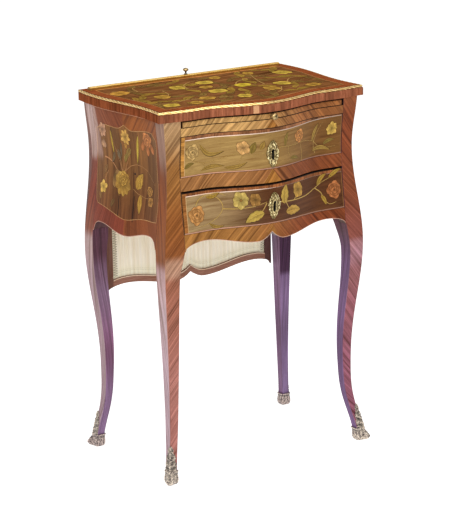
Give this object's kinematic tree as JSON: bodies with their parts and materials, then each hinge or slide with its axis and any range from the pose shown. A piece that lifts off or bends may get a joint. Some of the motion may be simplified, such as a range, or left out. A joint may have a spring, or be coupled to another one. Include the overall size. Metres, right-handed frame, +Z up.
{
  "type": "writing table with fire screen",
  "caption": "Small serpentine writing table with cabriole legs, floral marquetry, drawers, a pull-out writing slide and a pleated-silk fire screen that rises behind the top.",
  "frame": {"origin": "on the floor, under the middle of the table's bounding box", "axes": "+X to the sitter's right, +Y from the front to the back, +Z up; the drawers open towards -Y"},
  "size_m": [0.4712, 0.3258, 0.718],
  "materials": {
    "top_marquetry": "french-polished crossbanded veneer round a floral marquetry field",
    "gilt_bronze": "cast, chased and gilt, slightly worn",
    "leg_veneer": "french-polished diagonal-grain veneer, redder and purpler towards the feet",
    "side_marquetry": "french-polished floral marquetry in a shaped border",
    "rail_veneer": "french-polished veneer, grain meeting at the centre",
    "drawer_marquetry": "french-polished floral marquetry with stringing and crossbanding",
    "back_veneer": "french-polished plain veneer",
    "secondary_wood": "planed, unpolished",
    "drawer_oak": "planed and waxed",
    "slide_wood": "french-polished veneer margin",
    "slide_leather": "smooth, tooled edge",
    "lock_steel": "filed, dull",
    "screen_wood": "polished",
    "screen_silk": "pleated silk, slightly lustrous"
  },
  "bodies": {
    "carcass": {"top_panel": "top_marquetry", "top_moulding": "gilt_bronze", "leg_front_left": "leg_veneer", "leg_front_right": "leg_veneer", "leg_back_left": "leg_veneer", "leg_back_right": "leg_veneer", "sabot_front_left": "gilt_bronze", "sabot_front_right": "gilt_bronze", "sabot_back_left": "gilt_bronze", "sabot_back_right": "gilt_bronze", "side_panel_left": "side_marquetry", "side_panel_right": "side_marquetry", "slide_rail": "rail_veneer", "drawer_rail": "rail_veneer", "bottom_rail": "secondary_wood", "front_apron": "rail_veneer", "inner_back_panel": "secondary_wood", "outer_back_panel": "back_veneer", "screen_guides": "secondary_wood", "slide_bed": "secondary_wood", "dust_board": "secondary_wood", "bottom_board": "secondary_wood", "slide_runners": "secondary_wood", "upper_drawer_guides": "secondary_wood", "lower_drawer_guides": "secondary_wood", "drawer_stops": "secondary_wood", "corner_blocks": "secondary_wood"},
    "writing_slide": {"slide_board": "slide_wood", "slide_lipping": "rail_veneer", "slide_leather": "slide_leather", "slide_knob": "gilt_bronze"},
    "upper_drawer": {"upper_drawer_front": "drawer_marquetry", "upper_drawer_side_left": "drawer_oak", "upper_drawer_side_right": "drawer_oak", "upper_drawer_back": "drawer_oak", "upper_drawer_bottom": "drawer_oak", "upper_escutcheon": "gilt_bronze", "upper_lock": "lock_steel"},
    "lower_drawer": {"lower_drawer_front": "drawer_marquetry", "lower_drawer_side_left": "drawer_oak", "lower_drawer_side_right": "drawer_oak", "lower_drawer_back": "drawer_oak", "lower_drawer_bottom": "drawer_oak", "lower_escutcheon": "gilt_bronze", "lower_lock": "lock_steel"},
    "fire_screen": {"screen_stile_left": "screen_wood", "screen_stile_right": "screen_wood", "screen_top_rail": "screen_wood", "screen_bottom_rail": "screen_wood", "screen_strip": "gilt_bronze", "screen_knob": "gilt_bronze", "screen_silk": "screen_silk"}
  },
  "joints": [
    {"name": "slide_pull", "type": "slide", "parent": "carcass", "child": "writing_slide", "axis": [0, -1, 0], "range_m": [0, 0.17]},
    {"name": "upper_drawer_pull", "type": "slide", "parent": "carcass", "child": "upper_drawer", "axis": [0, -1, 0], "range_m": [0, 0.15]},
    {"name": "lower_drawer_pull", "type": "slide", "parent": "carcass", "child": "lower_drawer", "axis": [0, -1, 0], "range_m": [0, 0.15]},
    {"name": "screen_rise", "type": "slide", "parent": "carcass", "child": "fire_screen", "axis": [0, 0, 1], "range_m": [0, 0.28]}
  ]
}
